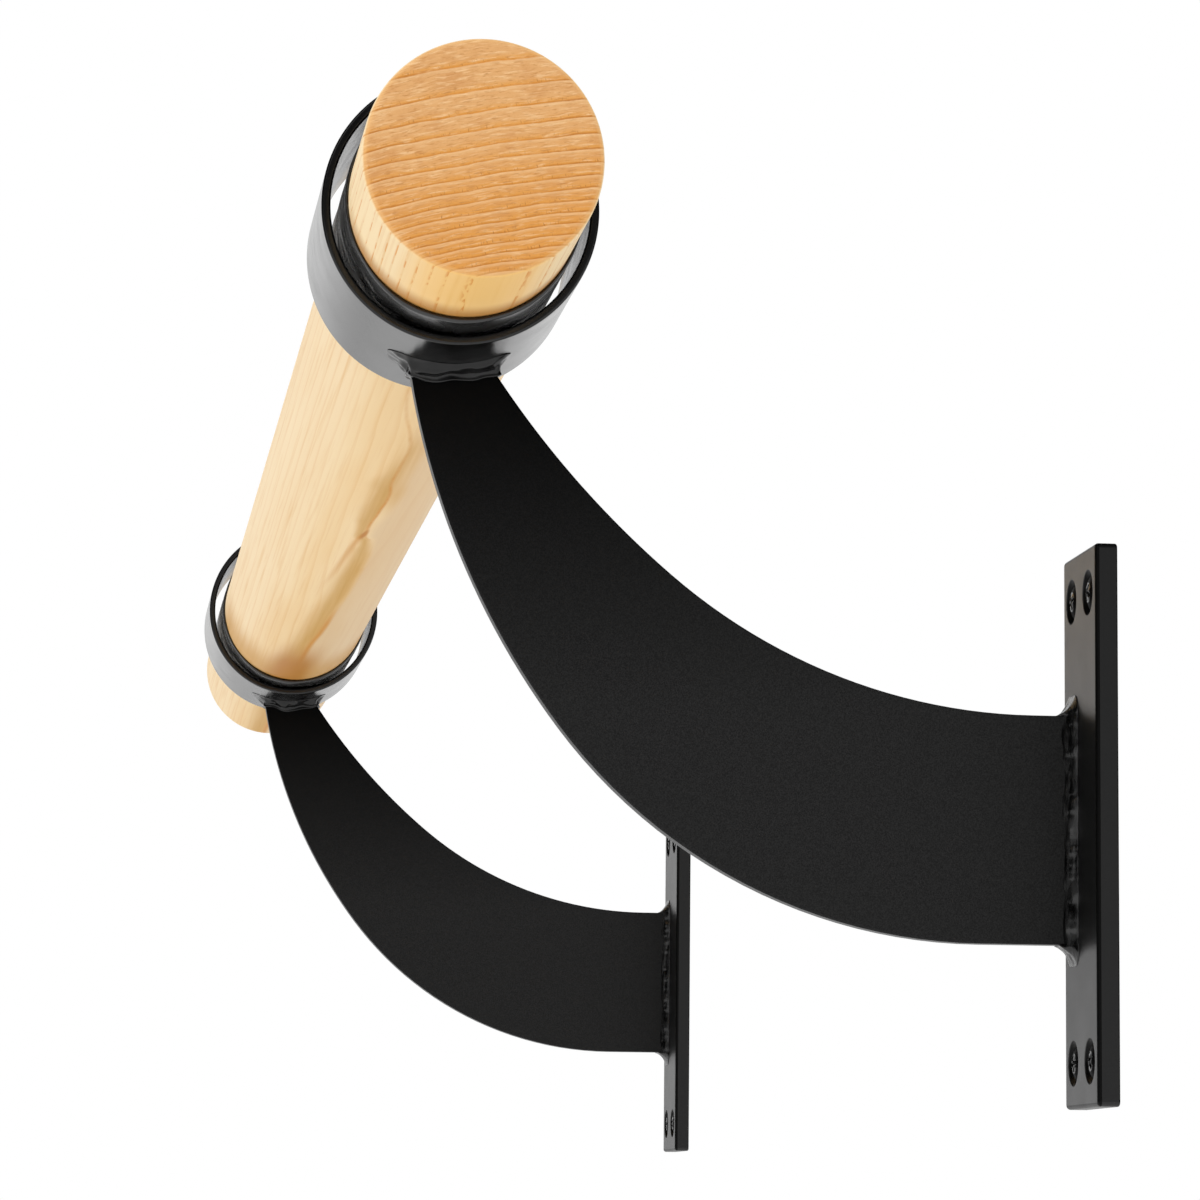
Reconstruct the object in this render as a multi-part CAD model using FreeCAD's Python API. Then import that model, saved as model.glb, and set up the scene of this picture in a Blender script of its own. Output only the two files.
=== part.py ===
import FreeCAD
import Part
import math
import os

# Wall-mounted ballet barre: a round wooden rail in two steel brackets, in millimetres.
# X runs along the barre, +Y goes into the wall, +Z is up.
# The origin lies on the wall, midway between the brackets and at the middle height of their plates.

# Barre
barre_diameter = 50.0
barre_overhang_left = 121.0
barre_overhang_right = 54.0
barre_edge_round = 1.6

# Brackets
bracket_spacing = 682.0
ring_reach = 145.4
ring_rise = 130.0

# Rubber sleeves, a running fit on the barre
barre_clearance = 0.05
sleeve_wall = 1.7
sleeve_overhang = 11.0
sleeve_edge_round = 0.6

# Rings, with play all round the sleeves, which lie near the bottom
ring_play = 1.4
ring_wall = 2.0
ring_length = 57.0
ring_edge_round = 0.5
sleeve_seat_gap = 0.3

# Arms
arm_thickness = 4.8
arm_root_height = 50.8
arm_neck_width = 17.6
arm_edge_bevel = 0.4
arm_upper_lead = 9.5
arm_upper_radius = 126.0
arm_upper_sweep = 40.0
arm_lower_lead = 21.4
arm_lower_radius = 118.0
arm_lower_sweep = 52.5

# Welds
ring_weld_leg = 3.6
plate_weld_leg = 3.2
weld_feather = 0.15

# Wall screws
screw_shank_diameter = 4.8
screw_head_diameter = 9.6
screw_head_angle = 82.0
screw_pitch_across = 16.4
screw_pitch_upright = 102.6
screw_hole_clearance = 0.2
screw_head_sink = 0.25
screw_wall_gap = 0.3
recess_width = 5.2
recess_slot = 1.1
recess_depth = 2.0

# Wall plates, which leave a land beside the screw holes and beside the arm's weld
plate_thickness = 5.0
plate_side_land = 3.0
plate_end_land = 5.0
plate_edge_round = 0.9
arm_side_land = 3.2

# Largest rim round as a share of a tube's wall, and how near two places count as one
rim_round_share = 0.4
tolerance = 1e-6

# Worked out from the sizes above
barre_radius = barre_diameter / 2
sleeve_inner_radius = barre_radius + barre_clearance
sleeve_radius = sleeve_inner_radius + sleeve_wall
bore_radius = sleeve_radius + ring_play
ring_radius = bore_radius + ring_wall
sleeve_length = ring_length + 2 * sleeve_overhang
barre_axis_height = ring_rise - ring_play + sleeve_seat_gap
bracket_reach = (bracket_spacing + ring_length) / 2
barre_start = -bracket_reach - barre_overhang_left
barre_length = bracket_reach + barre_overhang_right - barre_start
hole_radius = screw_shank_diameter / 2 + screw_hole_clearance
mouth_radius = screw_head_diameter / 2 + screw_hole_clearance
plate_width = screw_pitch_across + 2 * (mouth_radius + plate_side_land)
plate_height = screw_pitch_upright + 2 * (mouth_radius + plate_end_land)
plate_shift = plate_width / 2 - arm_thickness / 2 - plate_weld_leg - arm_side_land
plate_front = -plate_thickness
arm_overrun = ring_radius / 4
X_AXIS = FreeCAD.Vector(1, 0, 0)
Y_AXIS = FreeCAD.Vector(0, 1, 0)
TO_ROOM = FreeCAD.Vector(0, -1, 0)
UP = FreeCAD.Vector(0, 0, 1)


def point(x, y, z):
    return FreeCAD.Vector(x, y, z)


def rod(radius, x_start, length, height):
    """A round bar along X at the ring's distance from the wall."""
    return Part.makeCylinder(radius, length, point(x_start, -ring_reach, height), X_AXIS)


def round_rims(shape, edge_round):
    rims = [edge for edge in shape.Edges if isinstance(edge.Curve, Part.Circle)]
    return shape.makeFillet(edge_round, rims)


def tube(outer_radius, inner_radius, x_middle, length, height, edge_round):
    """A tube along X with softened rims, which keep to the wall's thickness."""
    x_start = x_middle - length / 2
    shape = rod(outer_radius, x_start, length, height).cut(rod(inner_radius, x_start, length, height))
    return round_rims(shape, min(edge_round, rim_round_share * (outer_radius - inner_radius)))


def wood_barre():
    return round_rims(rod(barre_radius, barre_start, barre_length, barre_axis_height), barre_edge_round)


def ring(x_middle):
    return tube(ring_radius, bore_radius, x_middle, ring_length, ring_rise, ring_edge_round)


def rubber_sleeve(x_middle):
    height = barre_axis_height
    return tube(sleeve_radius, sleeve_inner_radius, x_middle, sleeve_length, height, sleeve_edge_round)


def arc_point(start, tangent, side, radius, turn):
    """Where an arc is that left start along tangent and has curved towards side by a turn."""
    return start + tangent * (radius * math.sin(turn)) + side * (radius * (1 - math.cos(turn)))


def arc(start, tangent, side, radius, turn):
    halfway = arc_point(start, tangent, side, radius, turn / 2)
    end = arc_point(start, tangent, side, radius, turn)
    return Part.Arc(start, halfway, end).toShape()


def arm_edge(root_height, lead, radius, sweep, neck_corner):
    """One long edge of the arm: level from the wall, round a first bend, then in one arc into the ring."""
    turn = math.radians(sweep)
    foot = point(0, 0, root_height)
    bend_start = point(0, plate_front - lead, root_height)
    bend_end = arc_point(bend_start, TO_ROOM, UP, radius, turn)
    tangent = point(0, -math.cos(turn), math.sin(turn))
    chord = neck_corner - bend_end
    side = (chord - tangent * chord.dot(tangent)).normalize()
    neck_radius = chord.dot(chord) / (2 * chord.dot(side))
    neck_turn = 2 * math.asin(chord.Length / (2 * neck_radius)) + arm_overrun / neck_radius
    return [
        Part.LineSegment(foot, bend_start).toShape(),
        arc(bend_start, TO_ROOM, UP, radius, turn),
        arc(bend_end, tangent, side, neck_radius, neck_turn),
    ]


def arm_blank():
    """The arm with its edges bevelled, before its ends are trimmed, its middle plane at X = 0."""
    half_neck = arm_neck_width / 2
    neck_height = ring_rise - math.sqrt(ring_radius ** 2 - half_neck ** 2)
    half_root = arm_root_height / 2
    neck_wall_side = point(0, half_neck - ring_reach, neck_height)
    neck_room_side = point(0, -half_neck - ring_reach, neck_height)
    upper = arm_edge(half_root, arm_upper_lead, arm_upper_radius, arm_upper_sweep, neck_wall_side)
    lower = arm_edge(-half_root, arm_lower_lead, arm_lower_radius, arm_lower_sweep, neck_room_side)
    end_in_ring = Part.LineSegment(upper[-1].Vertexes[-1].Point, lower[-1].Vertexes[-1].Point).toShape()
    end_at_wall = Part.LineSegment(lower[0].Vertexes[0].Point, upper[0].Vertexes[0].Point).toShape()
    outline = Part.Wire(Part.__sortEdges__(upper + [end_in_ring] + lower + [end_at_wall]))
    face = Part.Face(outline)
    face.translate(point(-arm_thickness / 2, 0, 0))
    shape = face.extrude(point(arm_thickness, 0, 0))
    long_edges = []
    for edge in shape.Edges:
        box = edge.BoundBox
        crosswise = box.XLength > arm_thickness / 2
        at_wall = box.YLength < tolerance
        in_ring = box.ZMin > neck_height + tolerance
        if not (crosswise or at_wall or in_ring):
            long_edges.append(edge)
    return shape.makeChamfer(arm_edge_bevel, long_edges)


def arm_body():
    """The arm trimmed to the plate's face and the ring's underside, its middle plane at X = 0."""
    plate_corner = point(-plate_width, plate_front, -plate_height)
    plate_zone = Part.makeBox(2 * plate_width, plate_thickness, 2 * plate_height, plate_corner)
    ring_zone = rod(ring_radius, -ring_length / 2, ring_length, ring_rise)
    return arm_blank().cut(plate_zone).cut(ring_zone)


def arm(x_middle):
    shape = arm_body()
    shape.translate(point(x_middle, 0, 0))
    return shape


def ring_weld(x_middle):
    """A bead that runs round the arm's neck where it stands under the ring."""
    inner_half = arm_thickness / 2
    outer_half = inner_half + ring_weld_leg
    spread = 2 * math.degrees(math.asin((arm_neck_width / 2 + ring_weld_leg) / ring_radius))
    corners = [
        point(-outer_half, 0, -ring_radius),
        point(outer_half, 0, -ring_radius),
        point(inner_half, 0, -ring_radius - ring_weld_leg),
        point(-inner_half, 0, -ring_radius - ring_weld_leg),
    ]
    section = Part.Face(Part.makePolygon(corners + corners[:1]))
    section.rotate(point(0, 0, 0), X_AXIS, -spread / 2)
    bead = section.revolve(point(0, 0, 0), X_AXIS, spread)
    bead.translate(point(0, -ring_reach, ring_rise))
    bead = bead.cut(arm_body())
    bead.translate(point(x_middle, 0, 0))
    return bead


def plate_weld(x_middle):
    """A bead that runs round the arm's foot on the wall plate."""
    def outline(y, spread):
        half_x = arm_thickness / 2 + spread
        half_z = arm_root_height / 2 + spread
        corners = [
            point(-half_x, y, -half_z),
            point(half_x, y, -half_z),
            point(half_x, y, half_z),
            point(-half_x, y, half_z),
        ]
        return Part.makePolygon(corners + corners[:1])

    wide_end = outline(plate_front, plate_weld_leg)
    narrow_end = outline(plate_front - plate_weld_leg, weld_feather)
    bead = Part.makeLoft([wide_end, narrow_end], True, True).cut(arm_body())
    bead.translate(point(x_middle, 0, 0))
    return bead


def screw_places(x_middle, level):
    """The two screw positions on one plate, level 1 at its top and -1 at its bottom."""
    height = level * screw_pitch_upright / 2
    middle = x_middle + plate_shift
    return [(middle + side * screw_pitch_across / 2, height) for side in (-1, 1)]


def countersink_depth(head_radius, shank_radius):
    return (head_radius - shank_radius) / math.tan(math.radians(screw_head_angle / 2))


def wall_plate(x_middle):
    corner = point(x_middle + plate_shift - plate_width / 2, plate_front, -plate_height / 2)
    shape = Part.makeBox(plate_width, plate_thickness, plate_height, corner)
    room_side = [edge for edge in shape.Edges if edge.BoundBox.YMin < plate_front / 2]
    shape = shape.makeFillet(plate_edge_round, room_side)
    depth = countersink_depth(mouth_radius, hole_radius)
    for level in (-1, 1):
        for x, z in screw_places(x_middle, level):
            mouth = point(x, plate_front, z)
            seat = point(x, plate_front + screw_head_sink, z)
            shape = shape.cut(Part.makeCylinder(hole_radius, plate_thickness, mouth, Y_AXIS))
            shape = shape.cut(Part.makeCylinder(mouth_radius, screw_head_sink, mouth, Y_AXIS))
            shape = shape.cut(Part.makeCone(mouth_radius, hole_radius, depth, seat, Y_AXIS))
    return shape


def wall_screw(x, z):
    """A countersunk screw with a cross recess, shown as far as the wall's surface."""
    head_radius = screw_head_diameter / 2
    shank_radius = screw_shank_diameter / 2
    top = plate_front + screw_head_sink
    depth = countersink_depth(head_radius, shank_radius)
    head = Part.makeCone(head_radius, shank_radius, depth, point(x, top, z), Y_AXIS)
    shank = Part.makeCylinder(shank_radius, -screw_wall_gap - top, point(x, top, z), Y_AXIS)
    shape = head.fuse(shank).removeSplitter()
    long_side = recess_width / 2
    short_side = recess_slot / 2
    for half_x, half_z in ((long_side, short_side), (short_side, long_side)):
        slot = Part.makeBox(2 * half_x, recess_depth, 2 * half_z, point(x - half_x, top, z - half_z))
        shape = shape.cut(slot)
    return shape.removeSplitter()


def wall_screws(x_middle, level):
    return Part.makeCompound([wall_screw(x, z) for x, z in screw_places(x_middle, level)])


def bracket(side, x_middle):
    """All the pieces of one bracket, by node name."""
    return {
        side + "_ring": ring(x_middle),
        side + "_arm": arm(x_middle),
        side + "_wall_plate": wall_plate(x_middle),
        side + "_ring_weld": ring_weld(x_middle),
        side + "_plate_weld": plate_weld(x_middle),
        side + "_rubber_sleeve": rubber_sleeve(x_middle),
        side + "_top_screws": wall_screws(x_middle, 1),
        side + "_bottom_screws": wall_screws(x_middle, -1),
    }


os.makedirs("parts", exist_ok=True)
nodes = {"wood_barre": wood_barre()}
for bracket_side, direction in (("left", -1), ("right", 1)):
    nodes.update(bracket(bracket_side, direction * bracket_spacing / 2))
for node_name, node_shape in nodes.items():
    node_shape.exportStep("parts/" + node_name + ".step")
    state = "valid" if node_shape.isValid() else "not valid"
    print(node_name, len(node_shape.Solids), "solids", round(node_shape.Volume, 1), "mm3", state)
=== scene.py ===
import math
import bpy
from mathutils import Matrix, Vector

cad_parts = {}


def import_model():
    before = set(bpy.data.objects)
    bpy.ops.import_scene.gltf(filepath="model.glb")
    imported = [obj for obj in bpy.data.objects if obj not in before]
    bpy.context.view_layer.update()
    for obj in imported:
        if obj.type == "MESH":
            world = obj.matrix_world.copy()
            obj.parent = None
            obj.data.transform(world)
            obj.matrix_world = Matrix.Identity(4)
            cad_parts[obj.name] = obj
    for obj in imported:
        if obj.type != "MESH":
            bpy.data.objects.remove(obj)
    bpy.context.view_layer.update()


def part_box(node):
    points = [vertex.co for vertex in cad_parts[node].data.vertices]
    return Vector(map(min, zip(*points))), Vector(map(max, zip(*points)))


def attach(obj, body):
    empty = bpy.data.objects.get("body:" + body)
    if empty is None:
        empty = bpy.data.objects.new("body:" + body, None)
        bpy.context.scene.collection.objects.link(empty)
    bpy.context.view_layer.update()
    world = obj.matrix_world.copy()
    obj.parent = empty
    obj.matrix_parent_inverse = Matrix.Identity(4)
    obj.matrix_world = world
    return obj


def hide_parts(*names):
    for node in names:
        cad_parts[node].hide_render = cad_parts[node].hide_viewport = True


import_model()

from types import SimpleNamespace

import bmesh
import bpy
from mathutils import Matrix, Vector, noise

# Wall-mounted ballet barre, dressed around its solids, in metres.
# X runs along the barre, +Y goes into the wall, +Z is up.
MM = 0.001
SIDES = ("left", "right")
X_AXIS = Vector((1, 0, 0))
TO_ROOM = Vector((0, -1, 0))
UP = Vector((0, 0, 1))

# Sizes that the boxes of the solids don't give
RING_WALL = 2.0 * MM
RING_ROUND = 0.55 * MM
SLEEVE_ROUND = 0.8 * MM
SLEEVE_SIDE_SHARE = 0.5
SLEEVE_UNEVEN = 0.4
SLEEVE_CLEARANCE = 0.05 * MM
BARRE_ROUND = 1.6 * MM
ARM_ROOT_HEIGHT = 50.8 * MM
ARM_NECK_WIDTH = 17.6 * MM
ARM_ROUND = 0.5 * MM
ARM_UPPER_LEAD = 9.5 * MM
ARM_UPPER_RADIUS = 126.0 * MM
ARM_UPPER_SWEEP = math.radians(40.0)
ARM_LOWER_LEAD = 21.4 * MM
ARM_LOWER_RADIUS = 118.0 * MM
ARM_LOWER_SWEEP = math.radians(52.5)
PLATE_ROUND = 0.9 * MM
PLATE_BACK_ROUND = 0.5 * MM
PLATE_CORNER = 1.15 * MM
PLATE_WELD_LEG = 3.1 * MM
RING_WELD_LEG = 3.8 * MM
SCREW_PITCH = 16.4 * MM
SCREW_HOLE = 2.6 * MM
SCREW_MOUTH = 5.0 * MM
SCREW_HEAD = 4.1 * MM
SCREW_SHANK = 2.4 * MM
SCREW_SINK = 0.95 * MM
SCREW_TURN_DEGREES = (20, 62, 8, 41)
MOUTH_DEPTH = 0.25 * MM
COUNTERSINK_SLOPE = math.tan(math.radians(41.0))

# How finely round shapes are divided, and the angle from which an edge is shaded sharp
TURNED_SEGMENTS = 192
HOLE_SEGMENTS = 48
SCREW_SEGMENTS = 96
SHARP_EDGE = math.radians(35)
SHARP_SCREW_EDGE = math.radians(50)
NO_SHARP_EDGE = math.pi

# Light and floor
LAMP_TARGET = Vector((0.2, -0.1, 0.05))
LAMP_WAY = Vector((0.78, -0.28, 0.56))
LAMP_DISTANCE = 1.7
LAMP_SIZE = 1.0
LAMP_POWER = 2.0
AMBIENT_LEVEL = 1.03
AMBIENT_TILT = Vector((-0.04, -0.18, -0.06))
FLOOR_SIZE = 8.0
FLOOR_DROP = 0.55
FLOOR_COLOUR = (0.95, 0.95, 0.95, 1)

# Colours of the black pieces, in linear light
INKY = (0.001, 0.001, 0.001, 1)
DEEP = (0.003, 0.003, 0.003, 1)
SOFT = (0.011, 0.011, 0.011, 1)
# The arm coat's paler speckle, and the painted highlights on the plate weld's lumps
WORN_AND_SHEEN = (0.024, 0.024, 0.024, 1)
# The colour of the painted shade on the arms' necks
UNLIT = (0.0, 0.0, 0.0, 1)
RUBBER_DARK = (0.004, 0.004, 0.004, 1)
RUBBER_PALE = (0.016, 0.0155, 0.015, 1)

# Colours of the wood's ends, in linear light
END_OUTER = (0.79, 0.435, 0.18, 1)
END_INNER = (0.75, 0.335, 0.088, 1)
END_SMUDGE = (0.635, 0.295, 0.105, 1)
END_GRIT = (0.57, 0.265, 0.077, 1)
END_TICK = (0.39, 0.14, 0.032, 1)
END_RIM = (0.95, 0.58, 0.245, 1)
LATE_WOOD = (0.81, 0.355, 0.065, 1)
EARLY_WOOD = (0.97, 0.68, 0.375, 1)
PALE_STRAND = (0.94, 0.625, 0.33, 1)
DARK_STRAND = (0.55, 0.24, 0.07, 1)
YEAR_EDGE = (0.65, 0.24, 0.032, 1)
DARK_YEAR_EDGE = (0.39, 0.125, 0.022, 1)

# Colours of the wood's side, in linear light
SIDE_PALE = (0.95, 0.71, 0.395, 1)
SIDE_DEEP = (0.905, 0.62, 0.295, 1)
SIDE_FLANK_SHEEN = (0.985, 0.795, 0.53, 1)
SIDE_NEAR_END_LIGHT = (0.99, 0.775, 0.46, 1)
SIDE_THREAD = (0.83, 0.52, 0.22, 1)
SIDE_LINE = (0.78, 0.42, 0.12, 1)
SIDE_WARM_UNDERSIDE = (0.99, 0.575, 0.15, 1)
SIDE_BROKEN_LINE = (0.78, 0.27, 0.015, 1)
STREAK_PAINTED_SHADE = (0.725, 0.525, 0.325, 1)
STREAK_TAN = (0.66, 0.375, 0.11, 1)
STREAK_HEART = (0.61, 0.32, 0.05, 1)
STREAK_VEIN = (0.64, 0.25, 0.012, 1)
STREAK_DART = (0.52, 0.19, 0.015, 1)
# Colours of the painted shade on the wood in front of the sleeves
PAINTED_SLEEVE_SHADE = (0.66, 0.36, 0.10, 1)
PAINTED_SLEEVE_SHADE_ON_STREAK = (0.53, 0.225, 0.04, 1)
PAINTED_CONTACT_SHADE = (0.50, 0.20, 0.025, 1)

# The heart streak's edge, width and side vein: place along the barre and size across it, in millimetres
STREAK_EDGE = (
    (-290, -2.0), (-238, -0.7), (-208, -0.2), (-158, 1.7), (-111, 2.8), (-64, 4.4), (-33, 4.8),
    (-3, 5.2), (27, 4.2), (47, 2.8), (61, 0.9), (102, 1.8), (129, 2.4), (153, 1.4), (174, 1.7),
    (201, 2.0), (221, 0.9), (262, -3.2), (286, -4.5),
)
STREAK_WIDTH = (
    (-200, 6.4), (-31, 6.3), (0, 5.6), (29, 4.2), (56, 2.8), (86, 4.2), (128, 5.2), (168, 3.6), (198, 3.0),
)
SIDE_VEIN = ((-200, -6.6), (-66, -5.0), (-33, -3.5), (9, -2.0), (42, -0.8), (62, 0.6))

# The wood's growth rings: place of the pith in millimetres from the axis, and years to the millimetre
PITH = (0.0, 38.0, -196.0)
RUNOUT = 0.006
FIRST_YEAR = -0.78
YEAR_RATE = 0.325
YEAR_SLOWING = 0.0041

# Places, from the boxes of the solids
barre_low, barre_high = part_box("wood_barre")
BARRE_RADIUS = (barre_high.z - barre_low.z) / 2
BARRE_Y = (barre_low.y + barre_high.y) / 2
BARRE_Z = (barre_low.z + barre_high.z) / 2
BARRE_END = barre_high.x / MM
ring_low, ring_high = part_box("right_ring")
RING_RADIUS = (ring_high.z - ring_low.z) / 2
RING_Z = (ring_low.z + ring_high.z) / 2
RING_LENGTH = ring_high.x - ring_low.x
sleeve_low, sleeve_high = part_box("right_rubber_sleeve")
SLEEVE_RADIUS = (sleeve_high.z - sleeve_low.z) / 2
SLEEVE_LENGTH = sleeve_high.x - sleeve_low.x
plate_low, plate_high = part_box("right_wall_plate")
PLATE_FRONT = plate_low.y
PLATE_BACK = plate_high.y
arm_low, arm_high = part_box("right_arm")
ARM_THICKNESS = arm_high.x - arm_low.x


def middle_x(node):
    low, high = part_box(node)
    return (low.x + high.x) / 2


def smooth_step(low, high, value):
    share = min(max((value - low) / (high - low), 0.0), 1.0)
    return share * share * (3 - 2 * share)


# Meshes

def piece(name, bm, body, node, material, sharp_angle=SHARP_EDGE):
    """Turn a mesh under construction into a finished piece that stands for a CAD node."""
    bmesh.ops.remove_doubles(bm, verts=bm.verts, dist=0.001 * MM)
    bmesh.ops.recalc_face_normals(bm, faces=bm.faces)
    mesh = bpy.data.meshes.new(name)
    bm.to_mesh(mesh)
    bm.free()
    mesh.shade_smooth()
    mesh.set_sharp_from_angle(angle=sharp_angle)
    mesh.materials.append(material)
    shape = bpy.data.objects.new(name, mesh)
    bpy.context.scene.collection.objects.link(shape)
    weighted = shape.modifiers.new("even_shading", "WEIGHTED_NORMAL")
    weighted.keep_sharp = True
    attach(shape, body)
    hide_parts(node)
    return shape


def add_loop(bm, points):
    return [bm.verts.new(point) for point in points]


def join_loops(bm, first, second, material_index=0):
    """A band of quads between two closed loops of as many points."""
    count = len(first)
    for i in range(count):
        j = (i + 1) % count
        face = bm.faces.new((first[i], first[j], second[j], second[i]))
        face.material_index = material_index


def fan(bm, loop, centre):
    middle = bm.verts.new(centre)
    count = len(loop)
    for i in range(count):
        bm.faces.new((loop[i], loop[(i + 1) % count], middle))


def corner_arc(centre, radius, start, end, steps):
    """Points on a rounded corner of a profile, angles in degrees."""
    points = []
    for i in range(steps + 1):
        angle = math.radians(start + (end - start) * i / steps)
        points.append((centre[0] + radius * math.cos(angle), centre[1] + radius * math.sin(angle)))
    return points


def turned(profile, y, z, closed, reshape=None):
    """A turned shape about an axis along X: profile points are pairs of place along X and radius.

    A closed profile makes a tube, and an open one gets a flat middle at both ends.
    """
    bm = bmesh.new()
    loops = []
    for x, radius in profile:
        points = []
        for i in range(TURNED_SEGMENTS):
            angle = 2 * math.pi * i / TURNED_SEGMENTS
            reach = reshape(x, radius, angle) if reshape else radius
            points.append(Vector((x, y + reach * math.sin(angle), z + reach * math.cos(angle))))
        loops.append(add_loop(bm, points))
    for first, second in zip(loops, loops[1:]):
        join_loops(bm, first, second)
    if closed:
        join_loops(bm, loops[-1], loops[0])
    else:
        fan(bm, loops[0], (profile[0][0], y, z))
        fan(bm, loops[-1], (profile[-1][0], y, z))
    return bm


def tube_profile(x_middle, length, outer, inner, edge_round):
    """The section of a tube wall with four rounded corners."""
    left = x_middle - length / 2
    right = x_middle + length / 2
    r = edge_round
    steps = 5
    return (
        corner_arc((right - r, outer - r), r, 90, 0, steps)
        + corner_arc((right - r, inner + r), r, 0, -90, steps)
        + corner_arc((left + r, inner + r), r, 270, 180, steps)
        + corner_arc((left + r, outer - r), r, 180, 90, steps)
    )


def wood_barre(material):
    end_rings = (0.25, 0.5, 0.75, 0.9)
    span = 40 * MM
    round_steps = 8
    left = barre_low.x
    right = barre_high.x
    flat = BARRE_RADIUS - BARRE_ROUND
    count = round((right - left) / span)
    profile = [(left, flat * share) for share in end_rings]
    profile += corner_arc((left + BARRE_ROUND, flat), BARRE_ROUND, 180, 90, round_steps)
    profile += [(left + (right - left) * i / count, BARRE_RADIUS) for i in range(1, count)]
    profile += corner_arc((right - BARRE_ROUND, flat), BARRE_ROUND, 90, 0, round_steps)
    profile += [(right, flat * share) for share in reversed(end_rings)]
    bm = turned(profile, BARRE_Y, BARRE_Z, False)
    piece("barre_turned_wood", bm, "barre", "wood_barre", material)


def ring(side, material):
    node = side + "_ring"
    inner = RING_RADIUS - RING_WALL
    profile = tube_profile(middle_x(node), RING_LENGTH, RING_RADIUS, inner, RING_ROUND)
    bm = turned(profile, BARRE_Y, RING_Z, True)
    piece(side + "_ring_tube", bm, "wall_brackets", node, material)


def rubber_sleeve(side, material):
    """The rubber that wraps the wood in its ring: thickest underneath, soft and a little uneven."""
    node = side + "_rubber_sleeve"
    inner = BARRE_RADIUS + SLEEVE_CLEARANCE
    lump_size = 7 * MM
    span = 3 * MM

    def soft_wall(x, radius, angle):
        under = smooth_step(0.5, 1.0, -math.cos(angle))
        share = SLEEVE_SIDE_SHARE + (1 - SLEEVE_SIDE_SHARE) * under
        place = Vector((x, BARRE_RADIUS * math.sin(angle), BARRE_RADIUS * math.cos(angle)))
        share *= 1 - SLEEVE_UNEVEN / 2 + SLEEVE_UNEVEN / 2 * lump(place, lump_size, 5.3)
        return inner + (radius - inner) * share

    profile = tube_profile(middle_x(node), SLEEVE_LENGTH, SLEEVE_RADIUS, inner, SLEEVE_ROUND)
    bm = turned(with_spans(profile, span), BARRE_Y, BARRE_Z, True, soft_wall)
    piece(side + "_sleeve_soft", bm, "sleeves", node, material)


def with_spans(profile, span):
    """The same closed profile with points added along its long straight sides."""
    points = []
    for start, end in zip(profile, profile[1:] + profile[:1]):
        count = max(1, round(math.dist(start, end) / span))
        for i in range(count):
            share = i / count
            points.append((start[0] + (end[0] - start[0]) * share, start[1] + (end[1] - start[1]) * share))
    return points


def arc_point(start, tangent, bend, radius, turn):
    return start + tangent * (radius * math.sin(turn)) + bend * (radius * (1 - math.cos(turn)))


def arm_edge(root_height, lead, radius, sweep, neck_corner, steps):
    """Points and tangents along one long edge of the arm, from the wall plate to the ring."""
    foot = Vector((0, PLATE_FRONT, root_height))
    bend_start = Vector((0, PLATE_FRONT - lead, root_height))
    bend_end = arc_point(bend_start, TO_ROOM, UP, radius, sweep)
    tangent = Vector((0, -math.cos(sweep), math.sin(sweep)))
    chord = neck_corner - bend_end
    bend = (chord - tangent * chord.dot(tangent)).normalized()
    neck_radius = chord.length_squared / (2 * chord.dot(bend))
    neck_turn = 2 * math.asin(chord.length / (2 * neck_radius))
    points = [(foot, TO_ROOM), (foot.lerp(bend_start, 0.5), TO_ROOM)]
    for i in range(steps):
        turn = sweep * i / steps
        direction = TO_ROOM * math.cos(turn) + UP * math.sin(turn)
        points.append((arc_point(bend_start, TO_ROOM, UP, radius, turn), direction))
    for i in range(steps + 1):
        turn = neck_turn * i / steps
        direction = tangent * math.cos(turn) + bend * math.sin(turn)
        points.append((arc_point(bend_end, tangent, bend, neck_radius, turn), direction))
    return points


def arm_edges():
    half_neck = ARM_NECK_WIDTH / 2
    neck_height = RING_Z - math.sqrt(RING_RADIUS ** 2 - half_neck ** 2)
    steps = 24
    upper_corner = Vector((0, BARRE_Y + half_neck, neck_height))
    lower_corner = Vector((0, BARRE_Y - half_neck, neck_height))
    half_root = ARM_ROOT_HEIGHT / 2
    upper = arm_edge(half_root, ARM_UPPER_LEAD, ARM_UPPER_RADIUS, ARM_UPPER_SWEEP, upper_corner, steps)
    lower = arm_edge(-half_root, ARM_LOWER_LEAD, ARM_LOWER_RADIUS, ARM_LOWER_SWEEP, lower_corner, steps)
    return upper, lower


def rounded_edge(place, out, side):
    """Points over one long edge of the arm, from one flat side to the other: offset across it and place."""
    steps = 4
    points = []
    for i in range(steps + 1):
        angle = math.pi / 2 * i / steps
        inset = ARM_ROUND * (1 - math.sin(angle))
        x = ARM_THICKNESS / 2 - ARM_ROUND * (1 - math.cos(angle))
        points.append((side * x, place - out * inset))
    return points + [(-x, spot) for x, spot in reversed(points)]


def arm(side, material):
    """The curved flat arm, as cross sections from the wall plate to the ring with rounded long edges."""
    node = side + "_arm"
    x_middle = middle_x(node)
    columns = 8
    upper, lower = arm_edges()
    bm = bmesh.new()
    loops = []
    for (top, top_way), (low, low_way) in zip(upper, lower):
        top_edge = rounded_edge(top, Vector((0, top_way.z, -top_way.y)), 1)
        low_edge = rounded_edge(low, Vector((0, -low_way.z, low_way.y)), -1)
        far_side = between(top_edge[-1], low_edge[0], columns)
        near_side = between(low_edge[-1], top_edge[0], columns)
        outline = top_edge + far_side + low_edge + near_side
        loops.append(add_loop(bm, [Vector((x_middle + x, spot.y, spot.z)) for x, spot in outline]))
    for first, second in zip(loops, loops[1:]):
        join_loops(bm, first, second)
    for loop in (loops[0], loops[-1]):
        bm.faces.new(loop)
    piece(side + "_arm_plate", bm, "wall_brackets", node, material)


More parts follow.
